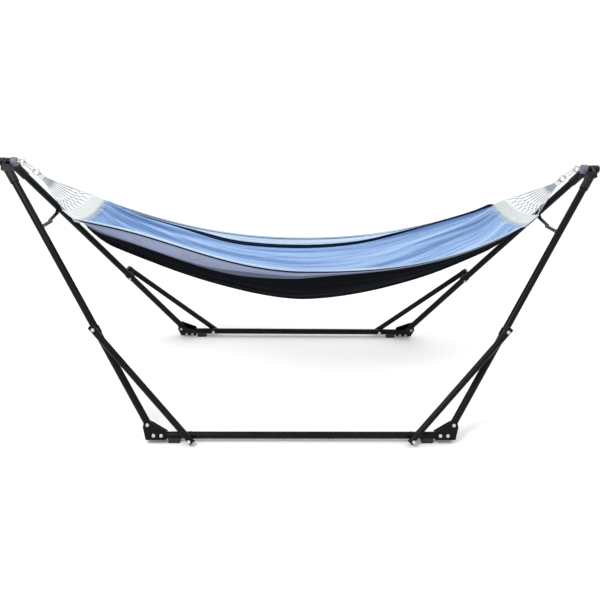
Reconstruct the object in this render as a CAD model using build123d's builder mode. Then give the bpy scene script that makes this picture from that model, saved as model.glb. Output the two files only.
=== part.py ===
from build123d import *
from math import atan2, cos, degrees, hypot, radians, sin
import os

# Hammock on a folding double A-frame stand.  Millimetres, +Z up, length along X,
# front frame on the -Y side, origin on the floor under the middle of the hammock.

# ---------------------------------------------------------------- driving sizes
pivot_span = 1180.0        # between the arm pivots of one frame, along X
base_spread = 944.0        # between the two floor tubes, along Y
base_height = 26.0         # floor tube axis above the floor
pin_height = 977.0         # apex hinge axis above the floor
apex_span = 2326.0         # between the points where the arms end, along X
arm_top_offset = 26.0      # arm axis to apex hinge axis, along Y
tube_d = 28.0              # arms and floor tubes
brace_d = 25.0
tube_wall = 1.2
bolt_r = 4.0               # M8 bolts throughout
hole_gap = 0.15            # radial clearance round a bolt
skin_gap = 0.2             # between a bracket and the tube it holds
plate = 2.5                # bracket steel
pivot_rise = 40.0          # arm pivot above the floor tube axis, in the frame plane
brace_foot_x = 429.0
brace_foot_out = 29.5      # brace axis in front of the floor tube axis
brace_top_share = 0.357    # of the way from the arm pivot to the apex
brace_top_out = 40.0       # brace axis in front of the arm axis at its top
stay_drop = 245.0          # folding stay below the apex, in the frame plane
stay_sag = 4.0             # degrees that each half stay slopes down when open
cloth_half = 860.0         # cloth from the middle to its end hem, along X

tube_r = tube_d / 2
brace_r = brace_d / 2
half_spread = base_spread / 2
apex_x = apex_span / 2
pivot_x = pivot_span / 2

# ------------------------------------------------------- the front frame's plane
# Local x runs along X, local y up the slope, local z out of the front face.
rise = pin_height - base_height
lean_run = half_spread - arm_top_offset
tilt = atan2(lean_run, rise)
frame_plane = Plane(
    origin=(0, -half_spread, base_height),
    x_dir=(1, 0, 0),
    z_dir=(0, -cos(tilt), sin(tilt)),
)
apex_v = hypot(lean_run, rise)
pin_v = half_spread * sin(tilt) + rise * cos(tilt)
pin_n = -arm_top_offset * cos(tilt)
pivot_point = Vector(pivot_x, pivot_rise, 0)
apex_point = Vector(apex_x, apex_v, 0)
arm_vector = apex_point - pivot_point
arm_length = arm_vector.length
arm_dir = arm_vector.normalized()


def in_frame(x, v, n):
    """World point of a place given in the front frame's plane."""
    return frame_plane.from_local_coords(Vector(x, v, n))


def along_frame(direction):
    """World direction of a direction given in the front frame's plane."""
    return in_frame(*direction) - in_frame(0, 0, 0)


arm_world = along_frame((arm_dir.X, arm_dir.Y, arm_dir.Z))
out_world = along_frame((0, 0, 1))
up_world = along_frame((0, 1, 0))


def arm_plane(distance):
    """Plane across the right front arm, a distance up from its pivot."""
    return Plane(
        origin=in_frame(*(pivot_point + arm_dir * distance)),
        x_dir=out_world,
        z_dir=arm_world,
    )


def cross_plane(x, v, n):
    """Plane parallel to the front face through a point of the frame."""
    return Plane(origin=in_frame(x, v, n), x_dir=(1, 0, 0), z_dir=out_world)


brace_foot = Vector(brace_foot_x, -half_spread - brace_foot_out, base_height)
brace_top_at = pivot_point + arm_vector * brace_top_share
brace_top = in_frame(brace_top_at.X, brace_top_at.Y, brace_top_out)
brace_vector = brace_top - brace_foot
brace_dir = brace_vector.normalized()

os.makedirs("parts", exist_ok=True)


def save(piece, name):
    """Label one finished piece and write it."""
    piece.part.label = name
    export_step(piece.part, f"parts/{name}.step")


def save_corners(right_front, right_rear, name):
    """Write a corner piece four times: both ends of both frames.

    right_rear is given as the piece would stand on the front frame.
    """
    save(right_front, f"front_{name}_right")
    with BuildPart() as left_front:
        mirror(right_front.part, about=Plane.YZ)
    save(left_front, f"front_{name}_left")
    with BuildPart() as at_right_rear:
        mirror(right_rear.part, about=Plane.XZ)
    save(at_right_rear, f"rear_{name}_right")
    with BuildPart() as at_left_rear:
        add(right_rear.part.rotate(Axis.Z, 180))
    save(at_left_rear, f"rear_{name}_left")


def save_pairs(right_front, name):
    """Write one node a frame, each holding the right and left copies."""
    with BuildPart() as front_pair:
        add(right_front.part)
        mirror(right_front.part, about=Plane.YZ)
    save(front_pair, f"front_{name}")
    with BuildPart() as rear_pair:
        mirror(right_front.part, about=Plane.XZ)
        add(right_front.part.rotate(Axis.Z, 180))
    save(rear_pair, f"rear_{name}")


# ------------------------------------------------------------------ floor tubes
base_half = 582.0                  # half the floor tube's length
bracket_bolt_x = (537.0, 566.0)    # two bolts hold each corner bracket

with BuildPart() as floor_tube:
    with BuildSketch(Plane.YZ.offset(-base_half)) as tube_ring:
        with Locations((-half_spread, base_height)):
            Circle(tube_r)
            Circle(tube_r - tube_wall, mode=Mode.SUBTRACT)
    extrude(amount=2 * base_half)
    for side in (-1, 1):
        for bolt_x in bracket_bolt_x:
            with BuildSketch(cross_plane(side * bolt_x, 0, -tube_d)) as bolt_hole:
                Circle(bolt_r + hole_gap)
            extrude(amount=2 * tube_d, mode=Mode.SUBTRACT)
        with BuildSketch(Plane.XZ.offset(half_spread - tube_d)) as foot_hole:
            with Locations((side * brace_foot_x, base_height)):
                Circle(bolt_r + hole_gap)
        extrude(amount=2 * tube_d, mode=Mode.SUBTRACT)
save(floor_tube, "front_base_tube")
with BuildPart() as rear_floor_tube:
    mirror(floor_tube.part, about=Plane.XZ)
save(rear_floor_tube, "rear_base_tube")

# ------------------------------------------------------------- corner brackets
# A folded steel channel: two cheeks and a floor web, sloping down inboard.
bracket_inner_x = 518.0
bracket_inside = tube_r + skin_gap
bracket_outside = bracket_inside + plate
cheek_r = 18.0

with BuildPart() as corner_bracket:
    with BuildSketch(cross_plane(0, 0, -bracket_outside)) as cheek:
        with BuildLine():
            Polyline(
                (bracket_inner_x, -bracket_outside),
                (pivot_x + 6, -bracket_outside),
                (pivot_x + cheek_r, pivot_rise - 8),
                (pivot_x + cheek_r - 4, pivot_rise + cheek_r - 4),
                (pivot_x + 2, pivot_rise + cheek_r),
                (pivot_x - 14, pivot_rise + cheek_r - 8),
                (bracket_inner_x, bracket_outside),
                close=True,
            )
        make_face()
        fillet(cheek.vertices(), radius=4)
    extrude(amount=2 * bracket_outside)
    with BuildSketch(cross_plane(0, 0, -bracket_inside)) as channel:
        with Locations((pivot_x - 40, -bracket_inside)):
            Rectangle(200, 100, align=(Align.CENTER, Align.MIN))
    extrude(amount=2 * bracket_inside, mode=Mode.SUBTRACT)
    for hole_x, hole_v in ((bracket_bolt_x[0], 0), (bracket_bolt_x[1], 0), (pivot_x, pivot_rise)):
        with BuildSketch(cross_plane(hole_x, hole_v, -tube_d)) as cheek_hole:
            Circle(bolt_r + hole_gap)
        extrude(amount=2 * tube_d, mode=Mode.SUBTRACT)
save_corners(corner_bracket, corner_bracket, "bracket")

# ------------------------------------------------------------------------ arms
arm_tail = 18.0                    # tube below its pivot
arm_top_gap = 30.0                 # tube ends this far below the apex point
clamp_at = arm_length * brace_top_share

with BuildPart() as arm:
    with BuildSketch(arm_plane(-arm_tail)) as arm_ring:
        Circle(tube_r)
        Circle(tube_r - tube_wall, mode=Mode.SUBTRACT)
    extrude(amount=arm_tail + arm_length - arm_top_gap)
    for hole_at in (pivot_point, brace_top_at):
        with BuildSketch(cross_plane(hole_at.X, hole_at.Y, -tube_d)) as arm_hole:
            Circle(bolt_r + hole_gap)
        extrude(amount=2 * tube_d, mode=Mode.SUBTRACT)
save_corners(arm, arm, "arm")

# ---------------------------------------------------------------------- braces
brace_tail = 16.0
brace_nose = 18.0
brace_plane = Plane(
    origin=brace_foot - brace_dir * brace_tail,
    x_dir=brace_dir.cross(Vector(0, 1, 0)),
    z_dir=brace_dir,
)

with BuildPart() as brace:
    with BuildSketch(brace_plane) as brace_ring:
        Circle(brace_r)
        Circle(brace_r - tube_wall, mode=Mode.SUBTRACT)
    extrude(amount=brace_tail + brace_vector.length + brace_nose)
    with BuildSketch(Plane.XZ.offset(half_spread)) as foot_bolt_hole:
        with Locations((brace_foot_x, base_height)):
            Circle(bolt_r + hole_gap)
    extrude(amount=2 * brace_foot_out, mode=Mode.SUBTRACT)
    with BuildSketch(cross_plane(brace_top_at.X, brace_top_at.Y, tube_r)) as top_bolt_hole:
        Circle(bolt_r + hole_gap)
    extrude(amount=2 * brace_top_out, mode=Mode.SUBTRACT)
save_corners(brace, brace, "brace")

# -------------------------------------------------------- clamps at brace tops
clamp_length = 30.0
clamp_r = tube_r + skin_gap + plate
boss_r = 11.0
boss_top = brace_top_out - brace_r - 0.3

with BuildPart() as clamp:
    with BuildSketch(arm_plane(clamp_at - clamp_length / 2)) as band:
        Circle(clamp_r)
    extrude(amount=clamp_length)
    with BuildSketch(cross_plane(brace_top_at.X, brace_top_at.Y, 0)) as boss:
        Circle(boss_r)
    extrude(amount=boss_top)
    with BuildSketch(arm_plane(clamp_at - clamp_length)) as band_bore:
        Circle(tube_r + skin_gap)
    extrude(amount=2 * clamp_length, mode=Mode.SUBTRACT)
    with BuildSketch(cross_plane(brace_top_at.X, brace_top_at.Y, -tube_d)) as clamp_hole:
        Circle(bolt_r + hole_gap)
    extrude(amount=3 * tube_d, mode=Mode.SUBTRACT)
save_corners(clamp, clamp, "clamp")

# ------------------------------------------------------------------ apex heads
# A moulded cap over each arm's top with a tongue that turns on the apex pin.
pin_r = 5.0
pin_gap = 0.08
head_r = 17.0
head_length = 62.0
head_top_gap = 25.0
tongue_r = 15.0
tongue_t = 10.0
front_tongue_x = 1158.0
rear_tongue_x = 1146.0
block_x = (1137.0, 1170.0)
block_top = 19.5                   # the block stays this far below the pin
block_tall = 24.0


def apex_head(tongue_x):
    """One head, as it stands on the right front arm."""
    with BuildPart() as head:
        with BuildSketch(arm_plane(arm_length - head_top_gap - head_length)) as skirt:
            Circle(head_r)
        extrude(amount=head_length)
        with BuildSketch(cross_plane(0, pin_v, pin_n + 3.5)) as block:
            with BuildLine():
                Polyline(
                    (block_x[0], -block_top),
                    (block_x[1], -block_top),
                    (block_x[1], -block_top - block_tall),
                    (block_x[0] - 8, -block_top - block_tall - 6),
                    close=True,
                )
            make_face()
            fillet(block.vertices(), radius=3)
        extrude(amount=head_r - 3.5 - pin_n)
        with BuildSketch(arm_plane(-arm_tail)) as bore:
            Circle(tube_r + skin_gap)
        extrude(amount=arm_tail + arm_length - arm_top_gap + skin_gap, mode=Mode.SUBTRACT)
        tongue_plane = Plane(
            origin=(tongue_x, 0, pin_height), x_dir=out_world, z_dir=(-1, 0, 0))
        with BuildSketch(tongue_plane) as tongue:
            Circle(tongue_r)
            with BuildLine():
                Polyline(
                    (-3.0, -tongue_r + 0.4),
                    (3.5, -block_top - 4),
                    (-pin_n + head_r - 8, -block_top - 4),
                    (-pin_n + head_r - 8, -block_top),
                    (tongue_r - 1.5, 6.0),
                    (0, 0),
                    close=True,
                )
            make_face()
            Circle(pin_r + pin_gap, mode=Mode.SUBTRACT)
        extrude(amount=-tongue_t)
    return head


front_head = apex_head(front_tongue_x)
rear_head = apex_head(rear_tongue_x)
save_corners(front_head, rear_head, "head")

# -------------------------------------------------- apex pins, caps and collars
eye_x = 1103.0
eye_major = 11.0
eye_wire_r = 3.25
pin_end = 1178.0
cap_x = 1170.5
cap_end = 1196.0
cap_r = 16.0
collar_x = (1122.0, 1144.0)
collar_r = 18.0
apex_axis_plane = Plane(origin=(0, 0, pin_height), x_dir=(0, 1, 0), z_dir=(1, 0, 0))

with BuildPart() as apex_pin_right:
    with BuildSketch(apex_axis_plane.offset(eye_x + eye_major + 1)) as shank:
        Circle(pin_r)
    extrude(amount=pin_end - eye_x - eye_major - 1)
    eye_section = Plane(origin=(eye_x + eye_major, 0, pin_height), x_dir=(1, 0, 0), z_dir=(0, 0, 1))
    with BuildSketch(eye_section) as eye_wire:
        Circle(eye_wire_r)
    revolve(axis=Axis((eye_x, 0, pin_height), (0, 1, 0)), revolution_arc=360)
save(apex_pin_right, "apex_pin_right")
with BuildPart() as apex_pin_left:
    mirror(apex_pin_right.part, about=Plane.YZ)
save(apex_pin_left, "apex_pin_left")

with BuildPart() as hub_caps:
    with BuildSketch(apex_axis_plane.offset(cap_x)) as cap_disc:
        Circle(cap_r)
    extrude(amount=cap_end - cap_x)
    fillet(hub_caps.faces().sort_by(Axis.X)[-1].edges(), radius=7)
    with BuildSketch(apex_axis_plane.offset(cap_x)) as cap_bore:
        Circle(pin_r + pin_gap)
    extrude(amount=pin_end - cap_x + 0.5, mode=Mode.SUBTRACT)
    mirror(hub_caps.part, about=Plane.YZ)
save(hub_caps, "hub_caps")

with BuildPart() as hub_collars:
    with BuildSketch(apex_axis_plane.offset(collar_x[0])) as collar_disc:
        Circle(collar_r)
    extrude(amount=collar_x[1] - collar_x[0])
    fillet(hub_collars.faces().sort_by(Axis.X)[0].edges(), radius=6)
    with BuildSketch(apex_axis_plane.offset(collar_x[0])) as collar_bore:
        Circle(pin_r + pin_gap)
    extrude(amount=collar_x[1] - collar_x[0], mode=Mode.SUBTRACT)
    mirror(hub_collars.part, about=Plane.YZ)
save(hub_collars, "hub_collars")

# --------------------------------------------------------------- folding stays
# Two flat half links meet in the middle between the front and rear arms.
stay_v = apex_v - stay_drop
stay_arm_x = apex_x - stay_drop * arm_dir.X / arm_dir.Y
stay_pin_n = -22.0                 # pin inboard of the arm, towards the other frame
stay_pin = in_frame(stay_arm_x, stay_v, stay_pin_n)
link_t = 7.0
link_w = 12.0
lug_t = 4.0
rivet_r = 3.0
slab_gap = 0.5
stay_slope = radians(stay_sag)
link_length = -stay_pin.Y / cos(stay_slope)
front_link_x = stay_arm_x - slab_gap - link_t
rear_link_x = stay_arm_x + slab_gap
front_lug_x = front_link_x - slab_gap - lug_t
rear_lug_x = rear_link_x + link_t + slab_gap


def stay_link(link_x):
    """One half link, as it stands on the right front arm."""
    with BuildPart() as link:
        link_plane = Plane(
            origin=(link_x, stay_pin.Y, stay_pin.Z),
            x_dir=(0, cos(stay_slope), -sin(stay_slope)),
            z_dir=(1, 0, 0),
        )
        with BuildSketch(link_plane) as link_bar:
            with Locations((link_length / 2, 0)):
                SlotCenterToCenter(link_length, link_w)
            with Locations((0, 0), (link_length, 0)):
                Circle(rivet_r + pin_gap, mode=Mode.SUBTRACT)
        extrude(amount=link_t)
    return link


front_link = stay_link(front_link_x)
rear_link = stay_link(rear_link_x)
save_corners(front_link, rear_link, "stay_link")


def stay_lug(lug_x):
    """Lug welded to the arm's inboard face, carrying the stay's pin."""
    with BuildPart() as lug:
        lug_plane = Plane(
            origin=(lug_x, stay_pin.Y, stay_pin.Z), x_dir=out_world, z_dir=(1, 0, 0))
        with BuildSketch(lug_plane) as lug_face:
            Circle(7)
            with Locations((8, 0)):
                Rectangle(16, 14)
            Circle(rivet_r + pin_gap, mode=Mode.SUBTRACT)
        extrude(amount=lug_t)
        with BuildSketch(arm_plane(-arm_tail)) as arm_room:
            Circle(tube_r + 0.05)
        extrude(amount=arm_length, mode=Mode.SUBTRACT)
    return lug


def stay_rivet(low_x, high_x, y, z):
    """Plain rivet along X with a head at its outer end."""
    with BuildPart() as rivet:
        rivet_plane = Plane(origin=(low_x, y, z), x_dir=(0, 1, 0), z_dir=(1, 0, 0))
        with BuildSketch(rivet_plane) as rivet_shank:
            Circle(rivet_r)
        extrude(amount=high_x - low_x)
    return rivet


front_lug = stay_lug(front_lug_x)
rear_lug = stay_lug(rear_lug_x)
with BuildPart() as front_stay_lugs:
    add(front_lug.part)
    mirror(front_lug.part, about=Plane.YZ)
save(front_stay_lugs, "front_stay_lugs")
with BuildPart() as rear_stay_lugs:
    mirror(rear_lug.part, about=Plane.XZ)
    add(rear_lug.part.rotate(Axis.Z, 180))
save(rear_stay_lugs, "rear_stay_lugs")

front_rivet = stay_rivet(front_lug_x - 2, front_link_x + link_t, stay_pin.Y, stay_pin.Z)
rear_rivet = stay_rivet(rear_link_x, rear_lug_x + lug_t + 2, -stay_pin.Y, stay_pin.Z)
with BuildPart() as front_stay_rivets:
    add(front_rivet.part)
    mirror(front_rivet.part, about=Plane.YZ)
save(front_stay_rivets, "front_stay_rivets")
with BuildPart() as rear_stay_rivets:
    add(rear_rivet.part)
    mirror(rear_rivet.part, about=Plane.YZ)
save(rear_stay_rivets, "rear_stay_rivets")

# The middle rivet is held by the front half link and ends inside its own plate.
middle_z = stay_pin.Z - link_length * sin(stay_slope)
middle_rivet = stay_rivet(front_link_x - 2, front_link_x + link_t, 0, middle_z)
save(middle_rivet, "stay_rivet_right")
with BuildPart() as middle_rivet_left:
    mirror(middle_rivet.part, about=Plane.YZ)
save(middle_rivet_left, "stay_rivet_left")

# ------------------------------------------------------------------- fasteners
head_bolt_r = 7.0
head_bolt_t = 4.5
nut_across = 13.0
nut_t = 7.0


def bolt(plane, grip):
    """Button-head bolt: head on the plane, shank going back through the grip."""
    with BuildPart() as bolt_piece:
        with BuildSketch(plane) as bolt_head:
            Circle(head_bolt_r)
        extrude(amount=head_bolt_t)
        head_face = bolt_piece.faces().sort_by(Axis(plane.origin, plane.z_dir))[-1]
        fillet(head_face.edges(), radius=2)
        with BuildSketch(plane) as bolt_shank:
            Circle(bolt_r)
        extrude(amount=-(grip + nut_t + 2))
    return bolt_piece.part


def nut(plane, grip):
    """Lock nut on the far side of the grip."""
    with BuildPart() as nut_piece:
        with BuildSketch(plane.offset(-grip - nut_t)) as nut_hex:
            RegularPolygon(nut_across / 2, 6, major_radius=False)
            Circle(bolt_r, mode=Mode.SUBTRACT)
        extrude(amount=nut_t)
    return nut_piece.part


pivot_bolt_plane = cross_plane(pivot_x, pivot_rise, bracket_outside)
bracket_bolt_planes = [cross_plane(x, 0, bracket_outside) for x in bracket_bolt_x]
foot_seat = brace_r + 3.2          # the leaning brace pushes the bolt's head out
foot_bolt_plane = Plane(
    origin=(brace_foot_x, brace_foot.Y - foot_seat, base_height), x_dir=(1, 0, 0), z_dir=(0, -1, 0))
clamp_seat = brace_top_out + brace_r + 0.4
clamp_bolt_plane = cross_plane(brace_top_at.X, brace_top_at.Y, clamp_seat)
cheek_grip = 2 * bracket_outside
foot_grip = foot_seat + brace_foot_out + tube_r
clamp_grip = clamp_seat + clamp_r
fastened = [(pivot_bolt_plane, cheek_grip)]
fastened += [(bolt_plane, cheek_grip) for bolt_plane in bracket_bolt_planes]
fastened += [(foot_bolt_plane, foot_grip), (clamp_bolt_plane, clamp_grip)]

with BuildPart() as pivot_bolt:
    add(bolt(pivot_bolt_plane, cheek_grip))
save_pairs(pivot_bolt, "pivot_bolts")

with BuildPart() as bracket_bolt:
    for bolt_plane in bracket_bolt_planes:
        add(bolt(bolt_plane, cheek_grip))
save_pairs(bracket_bolt, "bracket_bolts")

with BuildPart() as brace_bolt:
    add(bolt(foot_bolt_plane, foot_grip))
    add(bolt(clamp_bolt_plane, clamp_grip))
save_pairs(brace_bolt, "brace_bolts")

with BuildPart() as lock_nut:
    for nut_plane, grip in fastened:
        add(nut(nut_plane, grip))
save_pairs(lock_nut, "lock_nuts")

# -------------------------------------------------------------------- end plugs
plug_depth = 4.5
plug_lip = 2.0


def plug(plane, outer_r):
    """Plastic plug pushed into an open tube end; the plane faces out of it."""
    with BuildPart() as plug_piece:
        with BuildSketch(plane) as plug_lip_disc:
            Circle(outer_r)
        extrude(amount=plug_lip)
        with BuildSketch(plane) as plug_stem:
            Circle(outer_r - tube_wall - 0.1)
        extrude(amount=-plug_depth)
    return plug_piece.part


with BuildPart() as end_plug:
    add(plug(Plane(origin=(base_half, -half_spread, base_height), z_dir=(1, 0, 0)), tube_r))
    add(plug(Plane(origin=arm_plane(-arm_tail).origin, z_dir=-arm_world), tube_r))
    add(plug(Plane(origin=brace_plane.origin, z_dir=-brace_dir), brace_r))
    add(plug(Plane(origin=brace_top + brace_dir * brace_nose, z_dir=brace_dir), brace_r))
save_pairs(end_plug, "end_plugs")

# ------------------------------------------------------------------------- feet
foot_x = 490.0
foot_length = 44.0
foot_width = 34.0
foot_top = 22.0

with BuildPart() as foot:
    with BuildSketch(Plane.XY) as foot_base:
        with Locations((foot_x, -half_spread)):
            RectangleRounded(foot_length, foot_width, 5)
    extrude(amount=foot_top)
    with BuildSketch(Plane.YZ.offset(foot_x - foot_length)) as tube_room:
        with Locations((-half_spread, base_height)):
            Circle(tube_r + 0.1)
    extrude(amount=2 * foot_length, mode=Mode.SUBTRACT)
save_pairs(foot, "feet")

# ---------------------------------------------------------------------- hammock
# The cloth hangs as a trough: each cross-section is an arc between the two rims.  The
# front rim is the longer one, so the end hems stand skew and higher in front.
cloth_t = 4.0
rim_half_mid = 217.0
rim_half_end = 172.0
rim_z_mid = 612.0
rim_z_end = 786.0
front_rim_mid = 615.0
front_rim_end = 798.0
hem_skew = 0.10            # how far an end hem runs out along X for each unit of -Y
bottom_z_mid = 421.0
belly_z_end = 713.0        # where the bottom line would end without its hem
bottom_z_end = 763.0
hem_lift_from = 0.86       # the hem pulls the cloth up beyond this share
station_shares = (-1, -0.93, -0.86, -0.62, -0.32, 0, 0.32, 0.62, 0.86, 0.93, 1)


def trough(x, half, rear_rim, front_rim, bottom_z, thick):
    """Closed crescent across the trough at x."""
    skew = hem_skew * x / cloth_half
    inner = half - thick
    with BuildSketch(Plane(origin=(x, 0, 0), x_dir=(-skew, 1, 0), z_dir=(1, skew, 0))) as crescent:
        with BuildLine():
            ThreePointArc((-half, front_rim), (0, bottom_z), (half, rear_rim))
            Line((half, rear_rim), (inner, rear_rim + 1))
            ThreePointArc((inner, rear_rim + 1), (0, bottom_z + thick), (-inner, front_rim + 1))
            Line((-inner, front_rim + 1), (-half, front_rim))
        make_face()
    return crescent.sketch


def trough_at(share):
    """Cloth section at a share of its half length, from -1 to 1."""
    out = abs(share)
    lift = max(0, (out - hem_lift_from) / (1 - hem_lift_from)) ** 2
    belly = bottom_z_mid + (belly_z_end - bottom_z_mid) * out**1.65
    return trough(
        share * cloth_half,
        rim_half_mid + (rim_half_end - rim_half_mid) * out**2,
        rim_z_mid + (rim_z_end - rim_z_mid) * out**2.1,
        front_rim_mid + (front_rim_end - front_rim_mid) * out**1.7,
        belly + (bottom_z_end - belly_z_end) * lift,
        cloth_t,
    )


with BuildPart() as cloth:
    loft([trough_at(share) for share in station_shares])
save(cloth, "cloth")

# White braided band along each end hem, drawing in towards the clew.
band_x = (cloth_half + 0.4, 902.0)
band_half_outer = 154.0
band_rise = 26.0
band_sag_outer = 16.0
clew_rear = rim_z_end + band_rise
clew_front = front_rim_end + band_rise
clew_middle = clew_rear - band_sag_outer
with BuildPart() as end_band_right:
    hem_side = trough(band_x[0], rim_half_end, rim_z_end, front_rim_end, bottom_z_end, cloth_t)
    clew_side = trough(band_x[1], band_half_outer, clew_rear, clew_front, clew_middle, cloth_t)
    loft([hem_side, clew_side])
save(end_band_right, "end_band_right")
with BuildPart() as end_band_left:
    mirror(end_band_right.part, about=Plane.YZ)
save(end_band_left, "end_band_left")

# ------------------------------------------------------ carabiners, rings, clews
# Everything at the clew lies along the pull, from the eye down to the cloth.
wire_r = 2.75
carabiner_turn_r = 13.0
carabiner_long = 26.0              # straight sides between the two end turns
start_x = eye_x - (eye_major - eye_wire_r - wire_r - 0.3)
pull_end = Vector(band_x[1], 0, clew_middle)
pull_start = Vector(start_x, 0, pin_height)
pull = (pull_end - pull_start).normalized()
side_way = Vector(0, 1, 0)
pull_normal = pull.cross(side_way)
pull_plane = Plane(origin=pull_start, x_dir=pull, z_dir=pull_normal)
gate_gap = 1.2
gate_r = 2.25
turn_in = carabiner_turn_r
turn_out = carabiner_turn_r + carabiner_long
far_end = carabiner_long + 2 * carabiner_turn_r
gate_side = pull_plane.to_local_coords(pull_start + side_way).Y
gate_y = gate_side * carabiner_turn_r

with BuildPart() as carabiner_right:
    with BuildLine(pull_plane) as hook_path:
        first_turn = ThreePointArc((turn_in, gate_y), (0, 0), (turn_in, -gate_y))
        Line((turn_in, -gate_y), (turn_out, -gate_y))
        ThreePointArc((turn_out, -gate_y), (far_end, 0), (turn_out, gate_y))
    with BuildSketch(Plane(origin=first_turn @ 0, z_dir=first_turn % 0)) as hook_wire:
        Circle(wire_r)
    sweep()
save(carabiner_right, "carabiner_right")
with BuildPart() as carabiner_left:
    mirror(carabiner_right.part, about=Plane.YZ)
save(carabiner_left, "carabiner_left")

with BuildPart() as carabiner_gate_right:
    gate_start = pull_plane.from_local_coords(Vector(turn_in + gate_gap, gate_y, 0))
    with BuildSketch(Plane(origin=gate_start, z_dir=pull)) as gate_rod:
        Circle(gate_r)
    extrude(amount=carabiner_long - 2 * gate_gap)
save(carabiner_gate_right, "carabiner_gate_right")
with BuildPart() as carabiner_gate_left:
    mirror(carabiner_gate_right.part, about=Plane.YZ)
save(carabiner_gate_left, "carabiner_gate_left")

ring_wire_r = 2.5
ring_major = 13.0
ring_at = far_end - wire_r - ring_wire_r - 0.4 + ring_major
ring_centre = pull_start + pull * ring_at
with BuildPart() as clew_rings:
    with BuildSketch(Plane(origin=ring_centre + pull * ring_major, z_dir=pull_normal)) as ring_wire:
        Circle(ring_wire_r)
    revolve(axis=Axis(ring_centre, side_way), revolution_arc=360)
    mirror(clew_rings.part, about=Plane.YZ)
save(clew_rings, "clew_rings")

whip_at = ring_at + ring_major + ring_wire_r + 0.5
whip_long = 22.0
whip_wide = 44.0
whip_plane = Plane(origin=pull_start + pull * whip_at, x_dir=side_way, z_dir=pull)
with BuildPart() as clew_whippings:
    with BuildSketch(whip_plane) as whip_outline:
        RectangleRounded(whip_wide, 12, 5.5)
    extrude(amount=whip_long)
    mirror(clew_whippings.part, about=Plane.YZ)
save(clew_whippings, "clew_whippings")

# Clew cords: straight runs from the whipping's face to the band's outer edge.
cord_r = 1.4
cord_count = 18
cord_row = 2.3
cord_gap = 1.0
with BuildPart() as clew_cords_right:
    cord_from = pull_start + pull * (whip_at + whip_long + 1.6)
    for number in range(cord_count):
        side_share = (number - (cord_count - 1) / 2) / ((cord_count - 1) / 2)
        row = cord_row if number % 2 else -cord_row
        near_end = cord_from + side_way * (side_share * (whip_wide / 2 - 4)) + pull_normal * row
        edge_y = side_share * (band_half_outer - 4)
        edge_x = band_x[1] + cord_gap + cord_r - hem_skew * band_x[1] / cloth_half * edge_y
        rim_mean = (clew_rear + clew_front) / 2
        edge_z = clew_middle + (rim_mean - clew_middle) * side_share**2
        edge_z += (clew_rear - clew_front) / 2 * side_share
        edge = Vector(edge_x, edge_y, edge_z + 2)
        cord_run = edge - near_end
        with BuildSketch(Plane(origin=near_end, z_dir=cord_run.normalized())) as cord_section:
            Circle(cord_r)
        extrude(amount=cord_run.length)
save(clew_cords_right, "clew_cords_right")
with BuildPart() as clew_cords_left:
    mirror(clew_cords_right.part, about=Plane.YZ)
save(clew_cords_left, "clew_cords_left")

print("tilt", round(degrees(tilt), 3), "arm length", round(arm_length, 1))
print("stay pin", stay_pin, "link", round(link_length, 2), "middle z", round(middle_z, 2))
print("pull", pull, "start", pull_start, "ring", ring_centre)
print("gate hinge", gate_start, "normal", pull_normal)
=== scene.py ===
import math

import bpy
import numpy as np
from mathutils import Matrix, Vector


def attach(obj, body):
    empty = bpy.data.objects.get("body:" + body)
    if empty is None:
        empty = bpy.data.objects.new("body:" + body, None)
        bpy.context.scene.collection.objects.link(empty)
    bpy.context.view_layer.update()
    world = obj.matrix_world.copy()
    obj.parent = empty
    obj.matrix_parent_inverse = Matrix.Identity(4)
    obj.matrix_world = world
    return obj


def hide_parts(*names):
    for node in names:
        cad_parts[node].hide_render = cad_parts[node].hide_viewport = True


# Hammock on a folding stand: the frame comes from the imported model, the cloth, braid, net and
# windings are made here.  Metres, +Z up, the front frame on the -Y side.
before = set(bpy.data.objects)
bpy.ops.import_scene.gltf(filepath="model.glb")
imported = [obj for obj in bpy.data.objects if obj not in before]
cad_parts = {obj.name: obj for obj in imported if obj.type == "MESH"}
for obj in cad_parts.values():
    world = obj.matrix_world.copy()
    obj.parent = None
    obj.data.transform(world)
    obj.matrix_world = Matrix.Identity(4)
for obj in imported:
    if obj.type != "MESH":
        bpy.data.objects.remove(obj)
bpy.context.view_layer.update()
print("frame loaded,", len(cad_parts), "nodes")

camera = {
    "place": (-0.0855, -2.6237, 1.4786),
    "pitch": 0.3908,        # radians below level
    "yaw": -0.0323,
    "roll": 0.0192,
    "lens": 39.44,          # millimetres on a 36 mm sensor
}


def makeCamera():
    data = bpy.data.cameras.new("camera")
    data.lens = camera["lens"]
    data.sensor_width = 36
    data.clip_end = 300
    cam = bpy.data.objects.new("camera", data)
    bpy.context.scene.collection.objects.link(cam)
    turn = Matrix.Rotation(camera["yaw"], 4, "Z")
    lean = Matrix.Rotation(math.pi / 2 - camera["pitch"], 4, "X")
    cam.matrix_world = (
        Matrix.Translation(camera["place"]) @ turn @ lean @ Matrix.Rotation(camera["roll"], 4, "Z")
    )
    bpy.context.scene.camera = cam


makeCamera()
print("camera set")


def unit(v):
    return v / np.maximum(np.linalg.norm(v, axis=-1, keepdims=True), 1e-12)


def gridFaces(rows, cols, wrapRows=False, wrapCols=False):
    # quads between neighbouring points of a rows x cols grid
    r = np.arange(rows if wrapRows else rows - 1)
    c = np.arange(cols if wrapCols else cols - 1)
    rr, cc = np.meshgrid(r, c, indexing="ij")
    nextR, nextC = (rr + 1) % rows, (cc + 1) % cols
    quads = np.stack([rr * cols + cc, rr * cols + nextC, nextR * cols + nextC, nextR * cols + cc], -1)
    return quads.reshape(-1, 4)


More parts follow.
